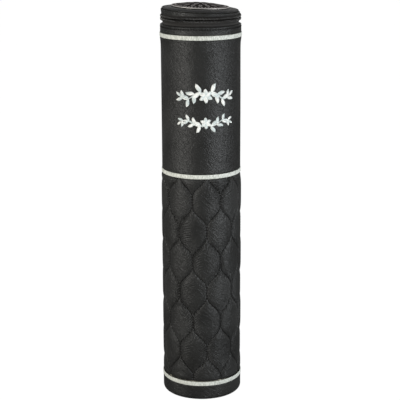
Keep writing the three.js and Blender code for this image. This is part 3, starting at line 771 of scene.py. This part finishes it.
def makeCoil(name, node, headUp, body):
    # A helix carried round the case: each turn goes out along the tape's face, over the head and back.
    # Its section is an oval drawn out towards a rectangle.
    low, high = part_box(node)
    half = np.pi - coilHalfGap
    turns = int(2 * half * coilRadius / zipper["pitch"])
    t = np.arange(turns * zipper["steps"] + 1) / zipper["steps"]
    wire = zipper["wire"] / 2
    bottom = low.z + wire - (0 if headUp else zipper["reach"])
    top = high.z - wire + (zipper["reach"] if headUp else 0)
    deep = (coilRadius - coilInner) / 2 - wire
    outward, up = squareCircle(t * fullTurn + (0 if headUp else np.pi), zipper["squareness"])
    angle = -half + 2 * half * t / turns
    height = (bottom + top) / 2 + (top - bottom) / 2 * up
    path = around((coilInner + coilRadius) / 2 + deep * outward, angle, height)
    points, faces = rodAlong(path, wire, turnAxes(angle)[0], zipper["sides"])
    putPiece(name, points, faces, nylon, node, body)


def makeZip():
    cloth = makeTapePiece("case_tape", "lower_zip_tape", "case")
    makeTapePiece("lid_tape", "upper_zip_tape", "lid")
    makeCoil("case_coil", "lower_zip_coil", True, "case")
    makeCoil("lid_coil", "upper_zip_coil", False, "lid")
    ringStitches("case_tape_stitches", tapeOuter + zipper["threadProud"], lowerCoilLow - zipper["seamDrop"],
                 zipper["stitch"], zipper["gap"], zipper["thread"], "tape")


makeZip()
print("zip made")


# Lid: a side band, a welt and a crowned cover that lean a little to one side
lid = {
    "leanDeg": 2.6, "shift": 0.5 * mm, "band": 3 * mm, "roll": 0.6 * mm, "crown": 2.1 * mm, "welt": 0.9 * mm,
    "medallion": 30.1 * mm, "rim": 1 * mm, "rimHeight": 0.8 * mm, "edge": 0.6 * mm, "dome": 3.3 * mm,
    "boardThick": 1.5 * mm, "liningLift": 1.25 * mm, "liningThick": 0.8 * mm, "twist": 0.05 * mm,
    "twists": 180,
}
lean = math.radians(lid["leanDeg"])
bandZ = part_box("hinge_tab")[1].z + lid["roll"] - lid["band"]
bandTopZ = bandZ + lid["band"]
bandRadius = coilInner + wall["leather"]
weltCentre = coilInner - lid["welt"]
coverRadius = weltCentre - lid["welt"] - wall["fit"]
padZ = bandZ + lid["liningLift"] + lid["liningThick"] + lid["boardThick"] + 2 * wall["fit"]
seatZ = padZ + lid["crown"] + wall["fit"]


def leaned(points):
    # Turned about a line along y through the band's top edge, then moved sideways by the lid's shift
    x, y, z = points[..., 0], points[..., 1], points[..., 2] - bandTopZ
    turnedX = x * math.cos(lean) + z * math.sin(lean)
    turnedZ = z * math.cos(lean) - x * math.sin(lean)
    return np.stack([turnedX - lid["shift"], y, turnedZ + bandTopZ], axis=-1)


def crownOutline(radius, rise, steps=24):
    # A low dome from its edge to the axis: a steep shoulder that flattens out
    share = 1 - np.linspace(0, 1, steps) ** 1.6
    return np.stack([radius * share, padZ + rise * (1 - share ** 8) ** 0.55], axis=-1)


def makeLidLeather():
    # The band is level at the zip and leans at its top, in proportion to the height between
    roundings = (crispEdge, softEdge, lid["roll"], crispEdge)
    outline = denser(section(coilInner, bandRadius, bandZ, bandTopZ, roundings), 0.6 * mm)
    radius, angle, height = ringGrid(outline, 300)
    share = ((height - bandZ) / lid["band"])[..., None]
    drop = -radius * np.sin(angle) * math.tan(lean)
    tilt = np.stack([0 * radius - lid["shift"], 0 * radius, drop], axis=-1)
    putRing("lid_band", around(radius, angle, height) + share * tilt, leatherette, "lid_side_band", "lid")
    # The cord inside the welt shows as a faint twist
    turn = turnSteps(24)
    weltZ = bandTopZ + lid["welt"]
    outline = np.stack([weltCentre + lid["welt"] * np.cos(turn), weltZ + lid["welt"] * np.sin(turn)], axis=-1)
    radius, angle, height = ringGrid(outline, 720)
    across = np.arctan2(height - weltZ, radius - weltCentre)
    twist = lid["twist"] * np.cos(lid["twists"] * angle + 3 * across)
    putRing("lid_piping", leaned(around(radius + twist, angle, height)), leatherette, "lid_welt", "lid")
    under = crownOutline(coverRadius - wall["leather"], lid["crown"] - wall["leather"])
    outline = np.concatenate([under[::-1], crownOutline(coverRadius, lid["crown"])])
    cover = putDisc("lid_top", outline, leatherette, "lid_cover", "lid", 240)
    inset = wall["leather"] + wall["fit"]
    outline = np.concatenate([[[0, padZ]], crownOutline(coverRadius - inset, lid["crown"] - inset)])
    pad = putDisc("lid_pad", outline, foamFinish, "lid_foam", "lid")
    liningZ = bandZ + lid["liningLift"]
    edge = tapeOuter - wall["tape"] - wall["fit"] - lid["shift"]
    outline = section(0, edge, liningZ, liningZ + lid["liningThick"], (0, softEdge, crispEdge, 0))
    cloth = putDisc("velvet_lid", outline, velvet, "lid_lining", "lid")


# Medallion: a generic rosette in low relief, two rings of petals inside a ring of beads
rosette = {"relief": 0.55 * mm, "beads": 48, "outerPetals": 16, "innerPetals": 8, "rings": 90, "columns": 576}


def rosetteHeight(radius, angle, edge):
    # Heights from 0 to 1. Beads: round bumps in a ring. Petals: lobes between two radii, whose width is a
    # half sine along the petal, with a rib down the middle. Boss: a dome in the middle with a ring round it.
    share = radius / edge
    beadStep = fullTurn * 0.9 / rosette["beads"]
    beadAcross = ((angle * rosette["beads"] / fullTurn) % 1 - 0.5) * beadStep
    beadAway = np.hypot(beadAcross, share - 0.9) / (beadStep / 2)
    height = np.sqrt(np.clip(1 - beadAway ** 2, 0, 1))
    petals = ((rosette["outerPetals"], 0.5, 0.84, 0.5), (rosette["innerPetals"], 0.17, 0.56, 0.0))
    for count, inner, outer, turned in petals:
        along = np.clip((share - inner) / (outer - inner), 0, 1)
        width = np.sin(np.pi * along ** 0.8) * 0.46 + 1e-6
        across = ((angle * count / fullTurn + turned) % 1 - 0.5) / width
        petal = np.clip(1 - across ** 2, 0, 1) ** 0.5 * np.clip(np.sin(np.pi * along) * 3, 0, 1)
        rib = bell(across, 0.12) * 0.35 * (along > 0) * (along < 0.8)
        height = np.maximum(height, petal * 0.85 - rib)
    rings = bell(share - 0.985, 0.012) + bell(share - 0.145, 0.02) * 0.7
    boss = np.sqrt(np.clip(1 - (share / 0.11) ** 2, 0, 1))
    return np.clip(np.maximum(np.maximum(height, rings), boss), 0, 1)


def makeMedallion():
    rings, columns = rosette["rings"], rosette["columns"]
    rimInner = lid["medallion"] - lid["rim"]
    plateEdge = rimInner - wall["fit"]
    radius = np.linspace(0, 1, rings + 1)[1:][:, None] ** 0.9 * plateEdge
    angle = turnSteps(columns)
    raised = rosetteHeight(radius, angle, plateEdge)
    rise = lid["edge"] - rosette["relief"] * 0.8 + lid["dome"] * (1 - (radius / plateEdge) ** 2)
    top = around(radius, angle, seatZ + rise + rosette["relief"] * raised)
    under = around(plateEdge, angle, seatZ)
    centreHeight = seatZ + lid["edge"] + lid["dome"] + rosette["relief"] * 0.2
    poles = [[0, 0, centreHeight], [0, 0, seatZ]]
    points = leaned(np.concatenate([top.reshape(-1, 3), under.reshape(-1, 3), poles]))
    plate = putPiece("medallion", points, discFaces(rings + 1, columns), relief, "medallion_plate", "lid")
    pointValues(plate, "raised", np.concatenate([raised.ravel(), np.zeros(columns), [1, 0]]))
    roundings = (0.1 * mm, crispEdge, 0.35 * mm, softEdge)
    outline = section(rimInner, lid["medallion"], seatZ, seatZ + lid["rimHeight"], roundings, 6)
    putRing("medallion_ring", leaned(around(*ringGrid(outline, 240))), rimFinish, "medallion_rim", "lid")


makeLidLeather()
makeMedallion()
print("lid made")


# Hinge tab: a curved strip of leatherette sewn to the collar and to the lid, which bends between them
tab = {"thick": 0.8 * mm, "columns": 72, "rows": 40, "stitch": 2.7 * mm, "inset": 1.7 * mm, "edge": 0.5 * mm,
       "bendAbove": 4.5 * mm, "bendPast": 0.4 * mm, "gap": 0.8 * mm, "thread": 0.5 * mm,
       "threadDeep": 0.05 * mm}


def makeHingeTab():
    low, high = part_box("hinge_tab")
    lowRadius, highRadius = collarRadius + wall["fit"], bandRadius + wall["fit"]
    foldZ = frame["joints"][0]["pos_m"][2]
    half = tabArc / 2 / collarRadius
    rows, columns = tab["rows"], tab["columns"]
    turnShare = np.linspace(-1, 1, columns)[None, :]
    height = np.linspace(low.z, high.z, rows)[:, None]
    fall = np.clip((height - foldZ) / (bandZ - foldZ), 0, 1)
    under = lowRadius + (highRadius - lowRadius) * fall
    edge = np.minimum(1, np.minimum(height - low.z, high.z - height) / tab["edge"]) ** 0.5
    sideEdge = np.minimum(1, (1 - np.abs(turnShare)) * half * collarRadius / tab["edge"]) ** 0.5
    thick = tab["thick"] * (0.35 + 0.65 * edge * sideEdge)
    angle = np.pi + half * turnShare
    skins = [around(radius, angle, height).reshape(-1, 3) for radius in (under + thick, under)]
    shift = rows * columns
    front = gridFaces(rows, columns)
    index = np.arange(shift).reshape(rows, columns)
    border = np.concatenate([index[0], index[1:, -1], index[-1, -2::-1], index[-2:0:-1, 0]])
    beside = np.roll(border, -1)
    sides = np.stack([beside, border, border + shift, beside + shift], axis=-1)
    faces = [front, front[:, ::-1] + shift, sides]
    piece = putPiece("hinge_strip", np.concatenate(skins), faces, leatherette, "hinge_tab", None)
    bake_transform(piece)
    ringStitches("tab_stitches", lowRadius + tab["thick"] - tab["threadDeep"], low.z + tab["inset"],
                 tab["stitch"], tab["gap"], tab["thread"], start=np.pi - half * 0.9, sweep=half * 1.8)


makeHingeTab()
print("hinge tab made")


# Slider: two curved plates with rounded ends round the coils, a web between them and a bar for the pull
slider = {
    "length": 10 * mm, "lip": 0.4 * mm, "plate": 1 * mm, "play": 0.5 * mm, "web": 0.5 * mm, "rest": 3.3 * mm,
    "bar": 0.6 * mm, "eyeWall": 0.6 * mm, "post": 0.9 * mm, "eyeWidth": 2.4 * mm, "corner": 0.35 * mm,
}
pull = {"length": 23 * mm, "width": 5.4 * mm, "thick": 1 * mm, "hole": 1.5 * mm, "round": 0.28 * mm,
        "widening": 1.6 * mm}
sliderAngle = np.pi - (tabArc / 2 + slider["rest"] + slider["length"] / 2) / coilRadius
outerPlate = coilRadius + slider["play"]
innerPlate = tapeOuter - wall["tape"] - wall["fit"]
barCentre = outerPlate + slider["plate"] + wall["fit"] + slider["bar"] + wall["fit"] + slider["eyeWall"]
chainMiddleZ = (lowerCoilLow + upperCoilHigh) / 2


def roundedPlate(radius, thick, low, high, length, corner, steps=36, layers=7):
    # An outline with round ends, drawn in towards both faces so that its edge is rounded, wrapped round the
    # axis: rings of points from the middle of one face over the edge to the middle of the other.
    over = np.linspace(-np.pi / 2, np.pi / 2, layers)
    depth = np.concatenate([[-1, -1], np.sin(over), [1, 1]])[:, None]

    def reach(half):
        # Half sizes of the rings: two shares of the flat face, the edge's curve, and the other face's two
        flat = np.array([0.02, 0.5]) * (half - corner)
        return np.concatenate([flat, half - corner * (1 - np.cos(over)), flat[::-1]])[:, None]

    squareX, squareZ = squareCircle(turnSteps(steps), 0.5)
    x, z = reach(length / 2) * squareX, reach((high - low) / 2) * squareZ
    points = around(radius + thick / 2 * (1 + depth), sliderAngle + x / radius, (low + high) / 2 + z)
    return points.reshape(-1, 3), rodFaces(layers + 4, steps)


def sliderFrame(x, y, z):
    # Local x along the case's turn, y outwards and z up, set at the slider's angle
    x, y, z = (part[..., None] for part in np.broadcast_arrays(x, y, z))
    tangent, out = turnAxes(sliderAngle)
    return x * tangent + y * out + z * np.array([0, 0, 1])


def makeSlider():
    low, high = lowerCoilLow - slider["lip"], upperCoilHigh + slider["lip"]
    plate, length, halfWeb = slider["plate"], slider["length"], slider["web"] / 2
    shapes = [roundedPlate(inner, plate, low, high, length, slider["corner"])
              for inner in (outerPlate, innerPlate - plate)]
    webInner, webOuter = innerPlate - plate / 2, outerPlate + plate / 2
    shapes.append(roundedPlate(webInner, webOuter - webInner, chainMiddleZ - halfWeb, chainMiddleZ + halfWeb,
                               length / 2, 0.1 * mm))
    along = np.linspace(-0.5, 0.5, 9)
    barLength = slider["eyeWidth"] + 2 * (wall["fit"] + slider["post"])
    shapes.append(rodAlong(sliderFrame(along * barLength, barCentre, chainMiddleZ), slider["bar"]))
    postX = slider["eyeWidth"] / 2 + wall["fit"] + slider["post"] / 2
    for side in (-1, 1):
        path = sliderFrame(side * postX, np.linspace(webOuter, barCentre, 9), chainMiddleZ)
        shapes.append(rodAlong(path, 0.75 * slider["bar"] * (1 + 0.5 * (0.5 - along) ** 3)))
    putPiece("slider", *joined(shapes), enamel, "zip_slider", "slider")


def makePull():
    # The tab's outline is a neck that widens into a strip with a round end, as width over distance down it.
    # It is drawn in towards both faces, and the hole's wall is a ring of the same number of points.
    eyeInner = slider["bar"] + wall["fit"]
    eyeOuter = eyeInner + slider["eyeWall"]
    half, neck = pull["width"] / 2, slider["eyeWidth"] / 2
    centre = pull["length"] - half
    shoulder = eyeOuter + wall["fit"] + slider["post"]
    down = np.concatenate([[eyeOuter - slider["eyeWall"] / 2], np.linspace(shoulder, centre, 24)])
    widen = np.clip((down - shoulder) / pull["widening"], 0, 1)
    width = neck + (half - neck) * (3 * widen ** 2 - 2 * widen ** 3)
    bend = np.linspace(0, np.pi, 25)[1:-1]
    outline = np.concatenate([
        np.stack([width, down], axis=-1),
        np.stack([half * np.cos(bend), centre + half * np.sin(bend)], axis=-1),
        np.stack([-width[::-1], down[::-1]], axis=-1),
    ])
    radial = unit(outline - [0, centre])
    hole = pull["hole"] * radial + [0, centre]
    tangent = np.roll(outline, -1, 0) - np.roll(outline, 1, 0)
    normal = unit(np.stack([-tangent[:, 1], tangent[:, 0]], axis=-1))
    drawn = np.array([1, 0, 0, 1])[:, None, None] * pull["round"]
    level = np.array([-0.5, -0.25, 0.25, 0.5])[:, None] * pull["thick"]
    flat = np.concatenate([outline + normal * drawn, (hole + radial * drawn)[::-1]])
    out = barCentre + np.concatenate([level, level[::-1]])
    strip = sliderFrame(flat[..., 0], out, chainMiddleZ - flat[..., 1])
    eye = section(eyeInner, eyeOuter, -neck, neck, (0.15 * mm, softEdge, softEdge, 0.15 * mm))
    spin = turnSteps(64)
    radius = eye[:, :1]
    ring = sliderFrame(eye[:, 1:], barCentre + radius * np.cos(spin), chainMiddleZ + radius * np.sin(spin))
    putPiece("pull", *joined([ringShape(strip), ringShape(ring)]), enamel, "pull_tab", "pull")


makeSlider()
makePull()
print("slider and pull made")


# Embroidery: two garlands in satin stitch, each leaf a row of threads laid side by side over padding
garland = {
    "turnDeg": 6.7, "half": 27 * mm, "gap": 28 * mm, "drop": 56.3 * mm, "vine": 1.4 * mm, "pairs": 4,
    "petals": 6, "leanDeg": 46, "shrink": 0.07, "threadPitch": 0.42 * mm, "pad": 0.75 * mm,
    "slant": 0.35 * mm, "lift": 0.1 * mm,
}
upperGarland = {"swing": 3.6 * mm, "leaf": 10.5 * mm, "leafWidth": 4.6 * mm, "petal": 7.4 * mm}
lowerGarland = {"swing": -2.8 * mm, "leaf": 8.4 * mm, "leafWidth": 3.8 * mm, "petal": 6 * mm}


def satinThreads(start, end, rise):
    # Each thread is a flat arch from one side of a shape to the other: its height is the padding times the
    # square root of one less the square of the place along it, and its section is a low oval of six points.
    steps = np.linspace(-1, 1, 7)
    middle, halfWay = (start + end) / 2, (end - start) / 2
    length = np.linalg.norm(halfWay, axis=1, keepdims=True) + 1e-9
    side = np.column_stack([-halfWay[:, 1], halfWay[:, 0]]) / length
    line = middle[:, None] + halfWay[:, None] * steps[None, :, None]
    arch = rise[:, None] * np.sqrt(np.clip(1.02 - steps[None, :] ** 2, 0, 1))
    spin = turnSteps(6)
    wide = garland["threadPitch"] * 0.62 * np.cos(spin)
    tall = garland["threadPitch"] * 0.42 * np.sin(spin)
    xy = line[:, :, None] + side[:, None, None] * wide[None, None, :, None]
    z = arch[:, :, None] + tall[None, None, :]
    return np.concatenate([xy, z[..., None]], axis=-1)


def leafThreads(base, direction, length, width):
    # Threads slant across the leaf from its two edges. The half width is a parabola along the leaf.
    count = max(4, round(length / garland["threadPitch"]))
    share = (np.arange(count) + 0.5) / count
    full = 4 * share * (1 - share)
    forward = np.array([math.cos(direction), math.sin(direction)])
    across = np.array([-math.sin(direction), math.cos(direction)])
    middle = base + forward * (share * length)[:, None]
    reach = (across + forward / 2) * (width / 2 * full)[:, None]
    return middle + reach, middle - reach, garland["pad"] * (0.35 + 0.65 * full)


def vineAt(form, x):
    # The vine is one sine wave each way from the middle: its height, and its slope angle on the right
    turns = fullTurn / garland["half"]
    return form["swing"] * np.sin(turns * np.abs(x)), np.arctan(form["swing"] * turns * np.cos(turns * x))


def makeGarland(name, level, node, form):
    x = np.arange(-garland["half"], garland["half"], garland["threadPitch"])
    rise = vineAt(form, x)[0]
    slope = np.gradient(rise, x)
    reach = unit(np.column_stack([-slope, np.ones(len(x))])) * garland["vine"] / 2 + [garland["slant"], 0]
    centre = np.column_stack([x, rise])
    runs = [(centre + reach, centre - reach, np.full(len(x), garland["pad"] * 0.55))]
    for k in range(garland["petals"]):
        facing = fullTurn * (k + 0.5) / garland["petals"]
        runs.append(leafThreads(np.zeros(2), facing, form["petal"], form["leafWidth"]))
    leafLean = math.radians(garland["leanDeg"])
    pitch = garland["half"] / (garland["pairs"] + 0.4)
    for k in range(garland["pairs"] + 1):
        isLast = k == garland["pairs"]
        place = garland["half"] - garland["vine"] if isLast else pitch * (k + 0.85)
        size = 1 - garland["shrink"] * k
        lift, slopeAngle = vineAt(form, place)
        for facing in ([slopeAngle] if isLast else [slopeAngle + leafLean, slopeAngle - leafLean]):
            for side, direction in ((1, facing), (-1, math.pi - facing)):
                base = np.array([side * place, lift])
                runs.append(leafThreads(base, direction, form["leaf"] * size, form["leafWidth"] * size))
    flat = satinThreads(*(np.concatenate(parts) for parts in zip(*runs)))
    angle = math.radians(garland["turnDeg"]) + flat[..., 0] / caseRadius
    points = around(caseRadius + garland["lift"] + flat[..., 2], angle, level + flat[..., 1])
    count = len(flat)
    piece = putPiece(name, points, repeated(rodFaces(7, 6), 42, count), satinThread, node)
    # Painted sheen and shade: a tone for each thread from a quick and a slow wave over the threads
    shade = 0.68 + 0.17 * np.sin(np.arange(count) * 2.4) + 0.35 * np.sin(np.arange(count) * 0.16)
    pointValues(piece, "strand", np.repeat(shade, 42))


upperLevel = trimLevels["top"][0] - garland["drop"]
makeGarland("garland_high", upperLevel, "garland_upper", upperGarland)
makeGarland("garland_low", upperLevel - garland["gap"], "garland_lower", lowerGarland)
print("embroidery made")


# Stage: a pale floor that keeps the shadow, two tall soft boxes in front and a white surround
studio = {
    "boxDistance": 0.8, "boxHeight": 0.26, "boxSize": (0.19, 0.5), "aimHeight": 0.24,
    "left": {"azimuthDeg": -52, "watts": 5.7, "tint": (1.0, 0.985, 0.94)},
    "right": {"azimuthDeg": 55, "watts": 6.3, "tint": (0.93, 0.97, 1.0)},
    "surround": 0.3, "mirrorShare": 0.3, "floorGlow": 0.98, "floorColour": "#505050",
    "floorMirrorShare": 0.08, "floorHalf": 5.0, "floorDrop": 0.1 * mm,
}


def throughCamera(tree, mirrorShare):
    # 1 for rays from the camera, a share for rays off a mirror-like surface or through glass, because the
    # white is dim beside and behind the camera, and 0 for soft bounced light
    path = addNode(tree, "LightPath").node.outputs
    glossy, glassy = path["Is Glossy Ray"], path["Is Transmission Ray"]
    bent = addNode(tree, "Math", {0: glossy, 1: glassy}, operation="MAXIMUM")
    dimmed = addNode(tree, "Math", {0: bent, 1: mirrorShare}, operation="MULTIPLY")
    return addNode(tree, "Math", {0: path["Is Camera Ray"], 1: dimmed}, operation="MAXIMUM")


def emptyTree(owner):
    owner.use_nodes = True
    owner.node_tree.nodes.clear()
    return owner.node_tree


def makeStage():
    world = bpy.data.worlds.new("white_surround")
    bpy.context.scene.world = world
    tree = emptyTree(world)
    soft, white = (addNode(tree, "Background", {"Color": (1, 1, 1, 1), "Strength": strength})
                   for strength in (studio["surround"], 1.0))
    both = addNode(tree, "MixShader", {0: throughCamera(tree, studio["mirrorShare"]), 1: soft, 2: white})
    addNode(tree, "OutputWorld", {"Surface": both})

    floorMesh = bpy.data.meshes.new("floor")
    corners = np.array([[-1, -1, 0], [1, -1, 0], [1, 1, 0], [-1, 1, 0]]) * studio["floorHalf"]
    floorMesh.from_pydata((corners - [0, 0, studio["floorDrop"]]).tolist(), [], [[0, 1, 2, 3]])
    paper = bpy.data.materials.new("white_paper_floor")
    tree = emptyTree(paper)
    matt = addNode(tree, "BsdfDiffuse", {"Color": toLinear(studio["floorColour"])})
    seen = throughCamera(tree, studio["floorMirrorShare"])
    strength = addNode(tree, "Math", {0: seen, 1: studio["floorGlow"]}, operation="MULTIPLY")
    glow = addNode(tree, "Emission", {"Color": (1, 1, 1, 1), "Strength": strength})
    addNode(tree, "OutputMaterial", {"Surface": addNode(tree, "AddShader", {0: matt, 1: glow})})
    floorMesh.materials.append(paper)
    addObject("floor", floorMesh)

    down = math.atan2(studio["boxHeight"] - studio["aimHeight"], studio["boxDistance"])
    for lamp in (studio["left"], studio["right"]):
        data = bpy.data.lights.new("soft_box", "AREA")
        data.color, data.energy = lamp["tint"], lamp["watts"]
        data.shape = "RECTANGLE"
        data.size, data.size_y = studio["boxSize"]
        azimuth = math.radians(lamp["azimuthDeg"])
        box = addObject("soft_box", data)
        box.location = around(studio["boxDistance"], azimuth, studio["boxHeight"])
        box.rotation_euler = Euler((math.pi / 2 - down, 0, azimuth))


# Camera: the photograph's viewing angle, from the fit of the tube's silhouette and ribbons
view = {"place": (-0.00144, -1.2485, 0.5379), "tiltDeg": 75.408, "rollDeg": -0.24, "lens": 108.2,
        "sensor": 36}


def makeCamera():
    data = bpy.data.cameras.new("camera")
    data.lens, data.sensor_width, data.sensor_fit = view["lens"], view["sensor"], "HORIZONTAL"
    camera = addObject("camera", data)
    camera.location = view["place"]
    tilt = Euler((math.radians(view["tiltDeg"]), 0, 0)).to_matrix()
    roll = Euler((0, 0, math.radians(view["rollDeg"]))).to_matrix()
    camera.rotation_euler = (tilt @ roll).to_euler()
    bpy.context.scene.camera = camera


makeStage()
makeCamera()
bpy.context.scene.view_settings.view_transform = "Standard"
print("stage made")
